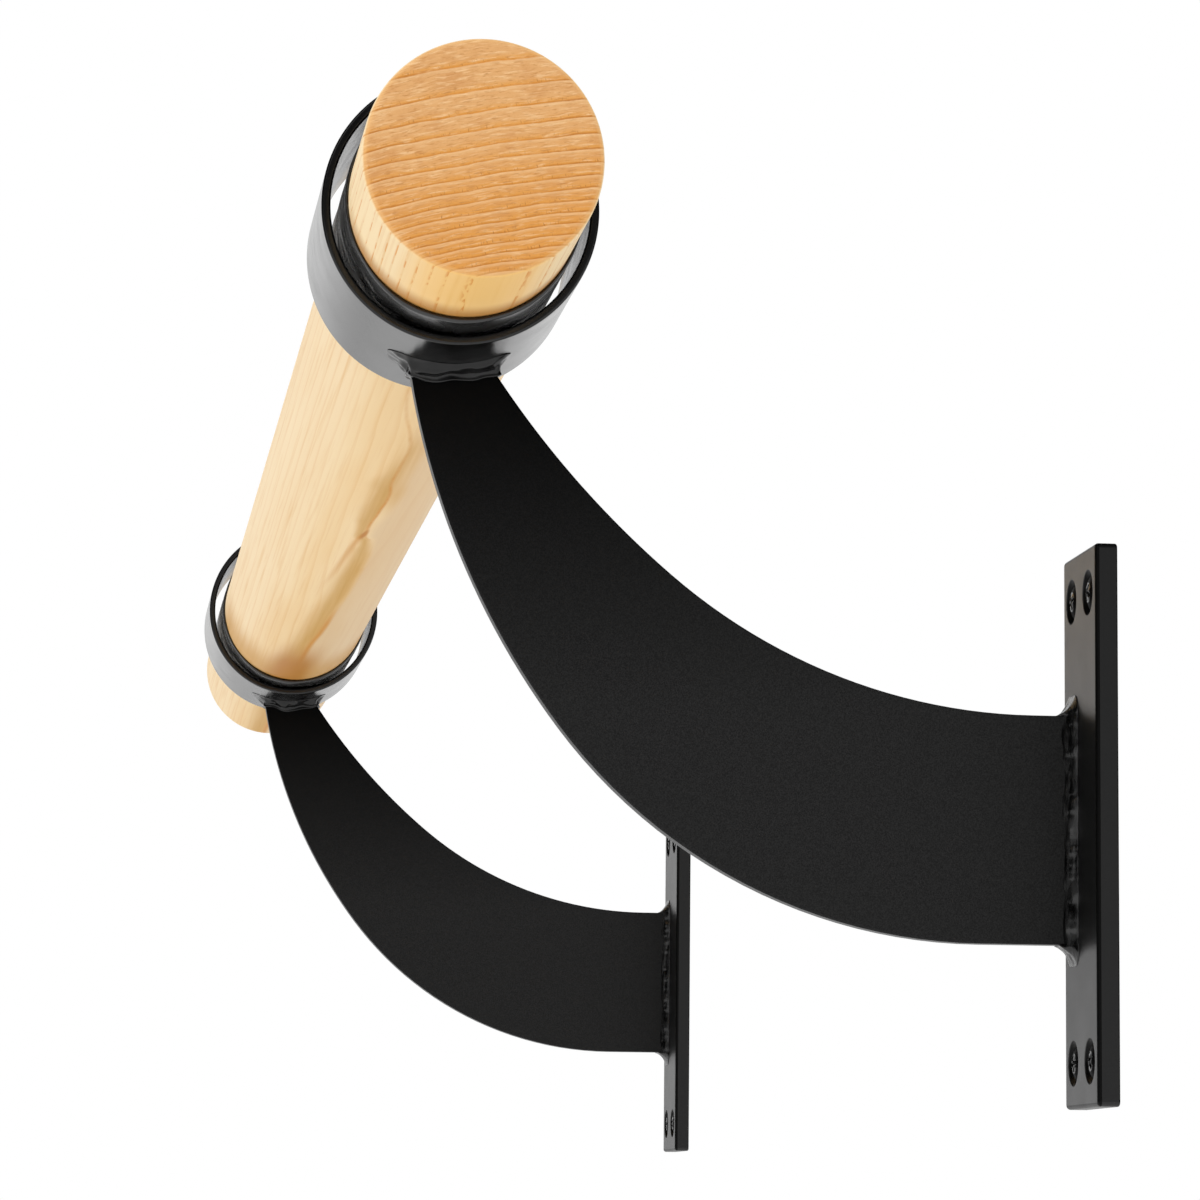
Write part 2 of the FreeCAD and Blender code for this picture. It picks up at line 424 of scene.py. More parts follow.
def between(start, end, columns):
    """Points of a section strictly between two of its corners, on the same face."""
    points = []
    for i in range(1, columns):
        share = i / columns
        points.append((start[0] + (end[0] - start[0]) * share, start[1].lerp(end[1], share)))
    return points


def rounded_rectangle(x_middle, z_middle, half_x, half_z, radius, y, steps):
    points = []
    for sign_x, sign_z, start in ((1, 1, 0), (-1, 1, 90), (-1, -1, 180), (1, -1, 270)):
        centre = (x_middle + sign_x * (half_x - radius), z_middle + sign_z * (half_z - radius))
        for x, z in corner_arc(centre, radius, start, start + 90, steps):
            points.append(Vector((x, y, z)))
    return points


def circle(x, y, z, radius, segments):
    angles = [2 * math.pi * i / segments for i in range(segments)]
    return [Vector((x + radius * math.cos(a), y, z + radius * math.sin(a))) for a in angles]


def loop_edges(bm, loop):
    edges = []
    for i in range(len(loop)):
        pair = (loop[i], loop[(i + 1) % len(loop)])
        edges.append(bm.edges.get(pair) or bm.edges.new(pair))
    return edges


def screw_places(side):
    """The middles of the four screws of one plate, by node name."""
    places = {}
    for level in ("top", "bottom"):
        node = side + "_" + level + "_screws"
        low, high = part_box(node)
        x = (low.x + high.x) / 2
        z = (low.z + high.z) / 2
        places[node] = [(x - SCREW_PITCH / 2, z), (x + SCREW_PITCH / 2, z)]
    return places


def plate_rows(round_rows):
    """The plate's edge from its front to its back: place of each outline and how far it is drawn in."""
    back_rows = 4
    rows = []
    for i in range(round_rows + 1):
        angle = math.pi / 2 * i / round_rows
        inset = PLATE_ROUND * (1 - math.sin(angle))
        rows.append((PLATE_FRONT + PLATE_ROUND * (1 - math.cos(angle)), inset))
    for i in range(back_rows + 1):
        angle = math.pi / 2 * i / back_rows
        inset = PLATE_BACK_ROUND * (1 - math.cos(angle))
        rows.append((PLATE_BACK - PLATE_BACK_ROUND * (1 - math.sin(angle)), inset))
    return rows


def wall_plate(side, material, shaded_edge_material):
    """The wall plate with countersunk holes and rounded edges; a duller copy of the coat paints shade on the
    rounded front edges and in the holes.
    """
    node = side + "_wall_plate"
    low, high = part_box(node)
    half_x = (high.x - low.x) / 2
    half_z = (high.z - low.z) / 2
    x_middle = (low.x + high.x) / 2
    z_middle = (low.z + high.z) / 2
    round_rows = 6
    corner_steps = 6
    bm = bmesh.new()
    loops = []
    for y, inset in plate_rows(round_rows):
        size = (half_x - inset, half_z - inset, PLATE_CORNER - inset)
        loops.append(add_loop(bm, rounded_rectangle(x_middle, z_middle, *size, y, corner_steps)))
    # Painted shade: the rounded front edges get the duller copy of the coat
    for row, (first, second) in enumerate(zip(loops, loops[1:])):
        join_loops(bm, first, second, 1 if row < round_rows else 0)
    front_edges = loop_edges(bm, loops[0])
    back_edges = loop_edges(bm, loops[-1])
    lip = 0.2 * MM
    lip_bend = 0.3 * lip
    lip_rows = 2
    cone_end = PLATE_FRONT + MOUTH_DEPTH + (SCREW_MOUTH - SCREW_HOLE) / COUNTERSINK_SLOPE
    hole_rows = [
        (PLATE_FRONT, SCREW_MOUTH + lip),
        (PLATE_FRONT + lip_bend, SCREW_MOUTH + lip_bend),
        (PLATE_FRONT + lip, SCREW_MOUTH),
        (PLATE_FRONT + MOUTH_DEPTH, SCREW_MOUTH),
        (cone_end, SCREW_HOLE),
        (PLATE_BACK, SCREW_HOLE),
    ]
    for places in screw_places(side).values():
        for x, z in places:
            hole = [add_loop(bm, circle(x, y, z, radius, HOLE_SEGMENTS)) for y, radius in hole_rows]
            # Painted shade: the holes' walls past their lips get the duller copy of the coat
            for row, (first, second) in enumerate(zip(hole, hole[1:])):
                join_loops(bm, first, second, 1 if row >= lip_rows else 0)
            front_edges += loop_edges(bm, hole[0])
            back_edges += loop_edges(bm, hole[-1])
    bmesh.ops.triangle_fill(bm, use_beauty=True, edges=front_edges)
    bmesh.ops.triangle_fill(bm, use_beauty=True, edges=back_edges)
    shape = piece(side + "_plate_steel", bm, "wall_brackets", node, material)
    shape.data.materials.append(shaded_edge_material)


def recess_depth(u, v):
    """How deep a screw head's top lies at a point: a cross recess with sloping walls in a dome."""
    wing = 1.9 * MM
    half_slot = 0.55 * MM
    slope = 0.35 * MM
    deepest = 1.7 * MM
    taper = 0.55
    dome = 1.1 * MM
    reach = math.hypot(u, v)
    first = max(abs(u) - wing, abs(v) - half_slot)
    second = max(abs(v) - wing, abs(u) - half_slot)
    inside = -min(first, second)
    fall = 1 - taper * reach / wing
    lift = dome * (1 - (reach / SCREW_HEAD) ** 2)
    return deepest * fall * smooth_step(0.0, slope, inside) - lift


def screw(bm, x, z, turn):
    """A countersunk screw: a head with a cross recess, its cone and its shank."""
    top = PLATE_FRONT + SCREW_SINK
    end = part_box("right_top_screws")[1].y
    rim = 0.25 * MM
    flat = SCREW_HEAD - rim
    rows = 30
    recess_rows = 16
    loops = []
    for i in range(1, rows + 1):
        radius = flat * i / rows
        points = []
        for j in range(SCREW_SEGMENTS):
            angle = 2 * math.pi * j / SCREW_SEGMENTS
            u = radius * math.cos(angle - turn)
            v = radius * math.sin(angle - turn)
            depth = recess_depth(u, v)
            points.append(Vector((x + radius * math.cos(angle), top + depth, z + radius * math.sin(angle))))
        loops.append(add_loop(bm, points))
    cone_end = top + (SCREW_HEAD - SCREW_SHANK) / COUNTERSINK_SLOPE
    under = [(top + 0.3 * rim, SCREW_HEAD - 0.3 * rim), (top + rim, SCREW_HEAD - 0.25 * rim)]
    under += [(cone_end, SCREW_SHANK), (end, SCREW_SHANK)]
    for y, radius in under:
        loops.append(add_loop(bm, circle(x, y, z, radius, SCREW_SEGMENTS)))
    # Painted shade and glints: the recess rows take a glossy copy of the coat, the rest of the head a nearly
    # unreflective copy that keeps it black
    for i, (first, second) in enumerate(zip(loops, loops[1:])):
        join_loops(bm, first, second, 1 if i < recess_rows else 0)
    fan(bm, loops[0], (x, top + recess_depth(0, 0), z))
    fan(bm, loops[-1], (x, end, z))


def wall_screws(side, material, recess_material):
    turns = iter(SCREW_TURN_DEGREES)
    for node, places in screw_places(side).items():
        bm = bmesh.new()
        for x, z in places:
            screw(bm, x, z, math.radians(next(turns)))
        shape = piece(node + "_black", bm, "wall_brackets", node, material, SHARP_SCREW_EDGE)
        shape.data.materials.append(recess_material)


def bead(bm, stations, rows, swell, squeeze, seed, ridge=0.0):
    """A weld bead swept along a closed path.

    Each station gives the corner that the bead fills, its toes on the two pieces with the way out of each
    piece there, and its fullness: 0 is hollow, 0.5 flat and 1 round. Lumps stand out of its face by the
    swell, and the squeeze makes them longer along an axis. The ridge is the height of a raised lip by the
    second piece, with a hollow as deep before it.
    """
    lump_size = 2.4 * MM
    lip = 0.12 * MM
    buried = 0.15 * MM
    ridge_place, ridge_width = 0.88, 0.07
    hollow_place, hollow_width = 0.66, 0.14
    loops = []
    for corner, first_toe, first_out, second_toe, second_out, fullness in stations:
        start = first_toe + first_out * lip
        end = second_toe + second_out * lip
        control = corner + (start - corner + end - corner) * fullness
        points = [first_toe - first_out * buried]
        for i in range(rows + 1):
            t = i / rows
            place = start * (1 - t) ** 2 + control * (2 * t * (1 - t)) + end * t ** 2
            height = swell * 4 * t * (1 - t) * lump(place * squeeze, lump_size, seed)
            if ridge:
                raised = math.exp(-((t - ridge_place) / ridge_width) ** 2)
                hollow = math.exp(-((t - hollow_place) / hollow_width) ** 2)
                hollow *= 0.5 + lump(place, 4 * lump_size, seed + 3)
                height += ridge * (raised - hollow)
            points.append(place + (first_out + second_out).normalized() * height)
        points.append(second_toe - second_out * buried)
        points.append(corner - (first_out + second_out) * buried)
        loops.append(add_loop(bm, points))
    for first, second in zip(loops, loops[1:] + loops[:1]):
        join_loops(bm, first, second)


def lump(place, size, seed):
    """A smooth irregular value between about -1 and 1 that stays the same each run."""
    return noise.noise(place / size + Vector((seed, 0.5 * seed, -seed)))


def round_path(half, reach, along, across, corner_steps):
    """Stations round a flat bar's section: place across it, place along it and heading in degrees."""
    long_side = [reach * (2 * i / (along - 1) - 1) for i in range(along)]
    short_side = [half * (2 * i / (across - 1) - 1) for i in range(across)]
    turns = [90 * i / corner_steps for i in range(1, corner_steps)]
    path = [(half, place, 0) for place in long_side]
    path += [(half, reach, turn) for turn in turns]
    path += [(place, reach, 90) for place in reversed(short_side)]
    path += [(-half, reach, 90 + turn) for turn in turns]
    path += [(-half, place, 180) for place in reversed(long_side)]
    path += [(-half, -reach, 180 + turn) for turn in turns]
    path += [(place, -reach, 270) for place in short_side]
    path += [(half, -reach, 270 + turn) for turn in turns]
    return path


def plate_weld(side, material):
    """The bead round the arm's foot on the wall plate."""
    node = side + "_plate_weld"
    x_middle = middle_x(node)
    leg = PLATE_WELD_LEG
    stations = []
    path = round_path(ARM_THICKNESS / 2, ARM_ROOT_HEIGHT / 2, along=170, across=14, corner_steps=10)
    for x, z, heading in path:
        way = Vector((math.cos(math.radians(heading)), 0, math.sin(math.radians(heading))))
        corner = Vector((x_middle + x, PLATE_FRONT, z))
        at_end = abs(way.z)
        swell = lump(corner, 8 * MM, 3.1)
        knob = lump(corner, 3.0 * MM, 7.7)
        fine = lump(corner, 1.3 * MM, 1.7)
        spread = leg * (1 + 0.14 * swell + 0.10 * knob + 0.5 * at_end)
        climb = leg * (0.85 + 0.16 * swell - 0.12 * knob + 0.4 * at_end)
        fullness = 0.66 - 0.4 * at_end + 0.16 * knob + 0.08 * fine
        stations.append((corner, corner + way * spread, TO_ROOM, corner + TO_ROOM * climb, way, fullness))
    bm = bmesh.new()
    bead(bm, stations, rows=16, swell=0.45 * MM, squeeze=Vector((1.0, 1.0, 0.2)), seed=4.2)
    piece(node + "_bead", bm, "wall_brackets", node, material, NO_SHARP_EDGE)


def on_ring(x, angle, height=0.0):
    """A point on the ring's outside, its angle counted from straight down towards the wall."""
    radius = RING_RADIUS + height
    return Vector((x, BARRE_Y + radius * math.sin(angle), RING_Z - radius * math.cos(angle)))


def ring_weld(side, material):
    """The bead round the arm's neck under the ring."""
    node = side + "_ring_weld"
    x_middle = middle_x(node)
    limit = math.asin(ARM_NECK_WIDTH / 2 / RING_RADIUS)
    upper, lower = arm_edges()
    down_wall_side = -upper[-1][1]
    down_room_side = -lower[-1][1]
    leg = RING_WELD_LEG
    stations = []
    path = round_path(ARM_THICKNESS / 2, limit, along=90, across=14, corner_steps=28)
    for x, angle, heading in path:
        along_x = math.cos(math.radians(heading))
        around = math.sin(math.radians(heading))
        corner = on_ring(x_middle + x, angle)
        share = (angle + limit) / (2 * limit)
        down = down_room_side.lerp(down_wall_side, share).normalized()
        swell = lump(corner, 6 * MM, 9.4)
        knob = lump(corner, 3.6 * MM, 2.6)
        fine = lump(corner, 1.5 * MM, 6.1)
        spread = leg * (1 + 0.12 * swell + 0.1 * knob + 0.35 * abs(around))
        climb = leg * (0.95 + 0.35 * swell + 0.12 * knob)
        fullness = 0.6 - 0.4 * abs(around) + 0.25 * knob + 0.08 * fine
        toe_angle = angle + around * spread / RING_RADIUS
        toe = on_ring(x_middle + x + along_x * spread, toe_angle)
        toe_out = Vector((0, math.sin(toe_angle), -math.cos(toe_angle)))
        level = Vector((0, math.cos(angle), math.sin(angle)))
        arm_out = X_AXIS * along_x + level * around
        stations.append((corner, toe, toe_out, corner + down * climb, arm_out, fullness))
    bm = bmesh.new()
    squeeze = Vector((1.0, 0.5, 1.0))
    bead(bm, stations, rows=30, swell=0.9 * MM, squeeze=squeeze, seed=8.3, ridge=0.6 * MM)
    piece(node + "_bead", bm, "wall_brackets", node, material, NO_SHARP_EDGE)


# Materials

def add(tree, kind, inputs=None, **settings):
    """A new node; an input is a value, or a socket to link, under the input's name or number."""
    made = tree.nodes.new(kind)
    for key, value in settings.items():
        setattr(made, key, value)
    for key, value in (inputs or {}).items():
        if isinstance(value, bpy.types.NodeSocket):
            tree.links.new(value, made.inputs[key])
        else:
            made.inputs[key].default_value = value
    return made


def calc(tree, operation, *values):
    inputs = dict(enumerate(values))
    return add(tree, "ShaderNodeMath", inputs, operation=operation).outputs[0]


def times(tree, first, *others):
    """The product of values and sockets."""
    product = first
    for other in others:
        product = calc(tree, "MULTIPLY", product, other)
    return product


def vector_calc(tree, operation, *values):
    inputs = dict(enumerate(values))
    return add(tree, "ShaderNodeVectorMath", inputs, operation=operation)


def step_between(tree, value, low, high):
    inputs = {"Value": value, "From Min": low, "From Max": high}
    return add(tree, "ShaderNodeMapRange", inputs, interpolation_type="SMOOTHSTEP").outputs[0]


def spread_between(tree, value, low, high):
    """The value from 0 to 1 spread over a range."""
    return add(tree, "ShaderNodeMapRange", {"Value": value, "To Min": low, "To Max": high}).outputs[0]


def mix_colour(tree, share, first, second):
    made = add(tree, "ShaderNodeMix", {0: share, 6: first, 7: second}, data_type="RGBA")
    return made.outputs[2]


def speckle(tree, vector, scale, detail=2.0, roughness=0.5, distortion=0.0):
    inputs = {
        "Vector": vector, "Scale": scale, "Detail": detail, "Roughness": roughness, "Distortion": distortion
    }
    return add(tree, "ShaderNodeTexNoise", inputs).outputs[0]


def new_material(name):
    material = bpy.data.materials.new(name)
    material.use_nodes = True
    tree = material.node_tree
    surface = tree.nodes["Principled BSDF"]
    return material, tree, surface


def in_millimetres(tree, origin=(0.0, 0.0, 0.0)):
    """Places on the piece in millimetres from an origin, which move with the piece."""
    place = add(tree, "ShaderNodeTexCoord").outputs["Object"]
    centred = vector_calc(tree, "SUBTRACT", place, origin).outputs[0]
    return add(tree, "ShaderNodeVectorMath", {0: centred, 3: 1 / MM}, operation="SCALE").outputs[0]


def stretched(tree, vector, factors):
    return vector_calc(tree, "MULTIPLY", vector, factors).outputs[0]


def curve_through(tree, value, points):
    """A smooth curve through points, each a pair of a value and what it becomes."""
    start = points[0][0]
    end = points[-1][0]
    heights = [point[1] for point in points]
    low = min(heights)
    high = max(heights)

    def spot(point):
        return (point[0] - start) / (end - start), (point[1] - low) / (high - low)

    share = add(tree, "ShaderNodeMapRange", {"Value": value, "From Min": start, "From Max": end})
    made = add(tree, "ShaderNodeFloatCurve", {"Value": share.outputs[0]})
    line = made.mapping.curves[0]
    line.points[0].location = spot(points[0])
    line.points[1].location = spot(points[-1])
    for point in points[1:-1]:
        line.points.new(*spot(point))
    made.mapping.update()
    return spread_between(tree, made.outputs[0], low, high)


def relief(tree, surface, height, strength, distance):
    bump = add(tree, "ShaderNodeBump", {"Height": height, "Strength": strength, "Distance": distance})
    tree.links.new(bump.outputs[0], surface.inputs["Normal"])


def coat_material(name, dark, pale, roughness, gloss, peel, lumps=0.0, flow=None, shaded=False):
    """Satin black powder coat with a fine orange-peel skin; gloss is its refractive index.

    The roughness is a pair, from the smoothest to the roughest. On a weld the coat has lumps too, so many to
    the millimetre along each axis of the flow, with painted highlights: the coat is paler on the raised
    lumps.
    A shaded coat has painted shade: it is darker up by the ring, where the ring and the barre shadow it.
    """
    material, tree, surface = new_material(name)
    place = in_millimetres(tree)
    skin = speckle(tree, place, 4.0, 2.0, 0.6)
    cloud = speckle(tree, place, 0.12, 3.0)
    height = times(tree, skin, peel)
    share = step_between(tree, skin, 0.3, 0.7)
    if flow:
        # Painted highlights: on a weld the coat is paler where the lumps stand out
        knobs = speckle(tree, stretched(tree, place, flow), 1.0, 2.0)
        height = calc(tree, "MULTIPLY_ADD", knobs, lumps, height)
        share = step_between(tree, knobs, 0.35, 0.7)
    colour = mix_colour(tree, share, dark, pale)
    # Painted shade: the coat darkens to black towards the neck, where the ring and the barre shadow the arm
    if shaded:
        level = add(tree, "ShaderNodeSeparateXYZ", {0: place}).outputs[2]
        neck = (RING_Z - RING_RADIUS) / MM
        root = ARM_ROOT_HEIGHT / 2 / MM
        lit = add(tree, "ShaderNodeMapRange", {"Value": level, "From Min": neck, "From Max": root})
        colour = mix_colour(tree, lit.outputs[0], UNLIT, colour)
    tree.links.new(colour, surface.inputs["Base Color"])
    tree.links.new(spread_between(tree, cloud, *roughness), surface.inputs["Roughness"])
    surface.inputs["IOR"].default_value = gloss
    relief(tree, surface, height, 1.0, 1.0 * MM)
    return material


def rubber_material():
    material, tree, surface = new_material("rubber_black")
    place = in_millimetres(tree)
    grain = speckle(tree, place, 0.16, 1.0, 0.4)
    cloud = speckle(tree, place, 0.12, 2.0)
    tree.links.new(mix_colour(tree, cloud, RUBBER_DARK, RUBBER_PALE), surface.inputs["Base Color"])
    tree.links.new(spread_between(tree, grain, 0.2, 0.34), surface.inputs["Roughness"])
    surface.inputs["IOR"].default_value = 1.65
    relief(tree, surface, grain, 0.5, 1.0 * MM)
    return material


def wood_places(tree):
    """Where a point lies in the wood, and in its growth rings.

    Lengths are in millimetres: x along the barre from the frame's origin, y and z from the barre's axis.
    """
    place = in_millimetres(tree, (0.0, BARRE_Y, BARRE_Z))
    x, y, z = add(tree, "ShaderNodeSeparateXYZ", {0: place}).outputs
    from_end = calc(tree, "SUBTRACT", BARRE_END, x)
    lean = calc(tree, "MULTIPLY_ADD", from_end, RUNOUT, z)
    leaning = add(tree, "ShaderNodeCombineXYZ", {0: 0.0, 1: y, 2: lean}).outputs[0]
    from_pith = vector_calc(tree, "DISTANCE", leaning, PITH).outputs["Value"]
    wander = speckle(tree, stretched(tree, place, (0.12, 1.0, 1.0)), 0.03, 2.0)
    wave = speckle(tree, stretched(tree, place, (0.1, 1.0, 1.0)), 0.14, 3.0)
    drift = times(tree, calc(tree, "SUBTRACT", wander, 0.5), 2.0)
    ripple = times(tree, calc(tree, "SUBTRACT", wave, 0.5), 0.6)
    depth = calc(tree, "SUBTRACT", from_pith, math.hypot(PITH[1], PITH[2]))
    depth = calc(tree, "ADD", depth, calc(tree, "ADD", drift, ripple))
    slowed = calc(tree, "MULTIPLY_ADD", times(tree, depth, depth), -YEAR_SLOWING, FIRST_YEAR)
    years = calc(tree, "MULTIPLY_ADD", depth, YEAR_RATE, slowed)
    season = calc(tree, "FRACT", years)
    rate = calc(tree, "MULTIPLY_ADD", depth, -2 * YEAR_SLOWING, YEAR_RATE)
    return SimpleNamespace(
        place=place,
        x=x,
        y=y,
        z=z,
        below=step_between(tree, z, 0.0, -12.0),
        wave=wave,
        dash=speckle(tree, stretched(tree, place, (0.16, 1.0, 1.0)), 0.8, 2.0),
        depth=depth,
        past_line=calc(tree, "DIVIDE", season, rate),
        before_line=calc(tree, "DIVIDE", calc(tree, "SUBTRACT", 1.0, season), rate),
        edge=step_between(tree, season, 0.96, 1.0),
    )


def end_grain(tree, wood):
    """Colour and height of an end: strands along the rings, late wood and a broken dark edge to each ring."""
    across = calc(tree, "MULTIPLY_ADD", wood.z, 0.185, wood.y)
    ring_place = add(tree, "ShaderNodeCombineXYZ", {0: 0.0, 1: across, 2: wood.depth}).outputs[0]
    strand = speckle(tree, stretched(tree, ring_place, (0.0, 0.16, 1.5)), 1.4, 3.0, 0.6, 0.5)
    shadow = speckle(tree, stretched(tree, ring_place, (0.0, 0.3, 2.4)), 1.4, 2.0, 0.6, 0.5)
    grit = speckle(tree, stretched(tree, wood.place, (0.0, 1.0, 1.0)), 2.6, 2.0, 0.6)
    ticks = speckle(tree, stretched(tree, ring_place, (0.0, 2.4, 0.6)), 1.2, 2.0, 0.5)
    breaks = speckle(tree, stretched(tree, ring_place, (0.0, 1.0, 0.1)), 0.5, 2.0, 0.6)
    blotch = speckle(tree, wood.place, 0.16, 4.0, 0.6)

    # Broad tones
    inner = step_between(tree, wood.depth, 12.0, -20.0)
    colour = mix_colour(tree, inner, END_OUTER, END_INNER)
    smudge = times(tree, step_between(tree, blotch, 0.45, 0.7), 0.6)
    colour = mix_colour(tree, smudge, colour, END_SMUDGE)
    late = times(tree, step_between(tree, wood.past_line, 1.7, 0.0), 0.8)
    colour = mix_colour(tree, late, colour, LATE_WOOD)

    # Strands, grit and ticks
    pale_strand = step_between(tree, strand, 0.48, 0.72)
    pale_strand = times(tree, pale_strand, spread_between(tree, inner, 0.9, 0.65))
    colour = mix_colour(tree, pale_strand, colour, PALE_STRAND)
    dark_strand = times(tree, step_between(tree, shadow, 0.5, 0.26), 0.8)
    colour = mix_colour(tree, dark_strand, colour, DARK_STRAND)
    colour = mix_colour(tree, times(tree, grit, 0.3), colour, END_GRIT)
    early = times(tree, step_between(tree, wood.before_line, 0.9, 0.2), 0.3)
    colour = mix_colour(tree, early, colour, EARLY_WOOD)
    tick = step_between(tree, ticks, 0.6, 0.7)
    tick = times(tree, tick, step_between(tree, wood.past_line, 1.4, 0.3))
    tick = times(tree, tick, spread_between(tree, inner, 0.55, 0.85))
    colour = mix_colour(tree, tick, colour, END_TICK)

    # Edges of the rings, darker by the sides and by the pith
    ring_edge = calc(tree, "MAXIMUM", step_between(tree, wood.past_line, 0.5, 0.0), wood.edge)
    edge_share = times(tree, ring_edge, spread_between(tree, breaks, 0.1, 1.1))
    colour = mix_colour(tree, edge_share, colour, YEAR_EDGE)
    toward_side = step_between(tree, calc(tree, "ABSOLUTE", wood.y), 4.0, 22.0)
    darker = calc(tree, "MAXIMUM", toward_side, times(tree, inner, 0.8))
    dark_edge = times(tree, edge_share, times(tree, darker, 0.75))
    colour = mix_colour(tree, dark_edge, colour, DARK_YEAR_EDGE)
    height = calc(tree, "SUBTRACT", times(tree, strand, 0.8), edge_share)
    return colour, height


def long_grain(tree, wood):
    """Colour and height of the side: pale wood with fine threads and thin ring lines."""
    hair = speckle(tree, stretched(tree, wood.place, (0.012, 1.0, 1.0)), 0.9, 3.0, 0.6)
    shade = speckle(tree, stretched(tree, wood.place, (0.05, 1.0, 1.0)), 0.1, 2.0)
    colour = mix_colour(tree, step_between(tree, shade, 0.3, 0.7), SIDE_PALE, SIDE_DEEP)
    # Painted sheen: the side that faces the room is paler, as if it caught the light
    flank_sheen = times(tree, step_between(tree, wood.y, -8.0, -22.0), 0.6)
    colour = mix_colour(tree, flank_sheen, colour, SIDE_FLANK_SHEEN)
    # Painted light: the wood is paler towards the near end, as if more brightly lit there
    near_end_light = times(tree, step_between(tree, wood.x, BARRE_END - 70, BARRE_END - 40), 0.8)
    colour = mix_colour(tree, near_end_light, colour, SIDE_NEAR_END_LIGHT)
    thread = times(tree, step_between(tree, hair, 0.48, 0.75), 0.5)
    colour = mix_colour(tree, thread, colour, SIDE_THREAD)
    thin_line = calc(tree, "MAXIMUM", step_between(tree, wood.past_line, 0.7, 0.0), wood.edge)
    thin_line = times(tree, thin_line, spread_between(tree, shade, 0.0, 0.5))
    colour = mix_colour(tree, thin_line, colour, SIDE_LINE)
    return colour, times(tree, hair, 0.25)


def heart_streak(tree, wood, inside, sway, colour):
    """The side with the heart streak along its underside: a veined edge that softens far off, and a dart."""
    strands = speckle(tree, stretched(tree, wood.place, (0.02, 1.0, 1.0)), 0.45, 3.0, 0.6)
    nearness = step_between(tree, wood.x, 0.0, 120.0)
    near_share = step_between(tree, wood.x, 40.0, 64.0)
    far_share = step_between(tree, wood.x, -90.0, -150.0)

    # Painted shade beyond the edge, on the side that faces the wall, and tan by the near ring
    beyond = step_between(tree, inside, 1.0, spread_between(tree, nearness, -1.5, -6.0))
    beyond = times(tree, beyond, step_between(tree, wood.x, 270.0, 200.0))
    colour = mix_colour(tree, times(tree, beyond, wood.below, 0.6), colour, STREAK_PAINTED_SHADE)
    tan = times(tree, step_between(tree, inside, -6.5, -1.0), step_between(tree, inside, 1.0, -0.5))
    tan = times(tree, tan, step_between(tree, wood.x, 85.0, 130.0))
    tan = times(tree, tan, step_between(tree, wood.x, 245.0, 200.0))
    tan = times(tree, tan, spread_between(tree, strands, 0.3, 1.1))
    colour = mix_colour(tree, times(tree, tan, wood.below), colour, STREAK_TAN)

    # The streak itself
    blur = spread_between(tree, nearness, 1.8, 0.6)
    streak = step_between(tree, inside, times(tree, blur, -1.0), blur)
    width = curve_through(tree, wood.x, STREAK_WIDTH)
    faded = step_between(tree, inside, times(tree, width, 1.5), times(tree, width, 0.4))
    streak = times(tree, streak, faded)
    streak = times(tree, streak, step_between(tree, wood.x, 240.0, 130.0))
    streak = times(tree, streak, spread_between(tree, strands, 0.5, 1.1))
    colour = mix_colour(tree, times(tree, streak, wood.below), colour, STREAK_HEART)

    # Veins along its edge and beside it
    vein_width = spread_between(tree, far_share, 0.9, 1.6)
    vein = step_between(tree, calc(tree, "ABSOLUTE", inside), vein_width, 0.0)
    near_vein = spread_between(tree, step_between(tree, wood.x, 120.0, 230.0), 0.75, 0.3)
    near_vein = times(tree, near_share, near_vein)
    near_vein = times(tree, near_vein, spread_between(tree, wood.dash, 0.3, 1.5))
    vein = times(tree, vein, calc(tree, "MAXIMUM", near_vein, times(tree, far_share, 0.8)))
    side_y = curve_through(tree, wood.x, SIDE_VEIN)
    off_side = calc(tree, "ADD", calc(tree, "SUBTRACT", side_y, wood.y), sway)
    side_vein = step_between(tree, calc(tree, "ABSOLUTE", off_side), 1.6, 0.0)
    side_vein = times(tree, side_vein, step_between(tree, wood.x, 64.0, 54.0))
    side_fade = spread_between(tree, step_between(tree, wood.x, -100.0, 50.0), 0.0, 0.6)
    side_vein = times(tree, side_vein, side_fade)
    veins = times(tree, calc(tree, "MAXIMUM", vein, side_vein), wood.below)
    colour = mix_colour(tree, veins, colour, STREAK_VEIN)

    # A dark dart where the veins meet
    dart_place = vector_calc(tree, "SUBTRACT", wood.place, (58.0, 0.6, -25.0)).outputs[0]
    dart_axes = add(tree, "ShaderNodeSeparateXYZ", {0: dart_place}).outputs
    dart_y = calc(tree, "MULTIPLY_ADD", dart_axes[0], -0.06, dart_axes[1])
    dart_shape = {0: times(tree, dart_axes[0], 0.1), 1: dart_y, 2: 0.0}
    dart_shape = add(tree, "ShaderNodeCombineXYZ", dart_shape).outputs[0]
    from_dart = vector_calc(tree, "LENGTH", dart_shape).outputs["Value"]
    dart = times(tree, step_between(tree, from_dart, 1.2, 0.3), times(tree, wood.below, 0.85))
    return mix_colour(tree, dart, colour, STREAK_DART)


def warm_under_near_end(tree, wood, colour):
    """The side, warmer in colour along the middle of the underside towards the near end, with broken ring
    lines.
    """
    warm_underside = step_between(tree, wood.x, BARRE_END - 75, BARRE_END - 20)
    warm_underside = times(tree, warm_underside, step_between(tree, wood.z, -18.0, -24.5), 0.75)
    colour = mix_colour(tree, warm_underside, colour, SIDE_WARM_UNDERSIDE)
    near_end = step_between(tree, wood.x, BARRE_END - 85, BARRE_END - 45)
    broken = times(tree, step_between(tree, wood.dash, 0.48, 0.6), near_end)
    line = times(tree, step_between(tree, wood.past_line, 0.45, 0.0), broken)
    return mix_colour(tree, times(tree, line, 0.85), colour, SIDE_BROKEN_LINE)


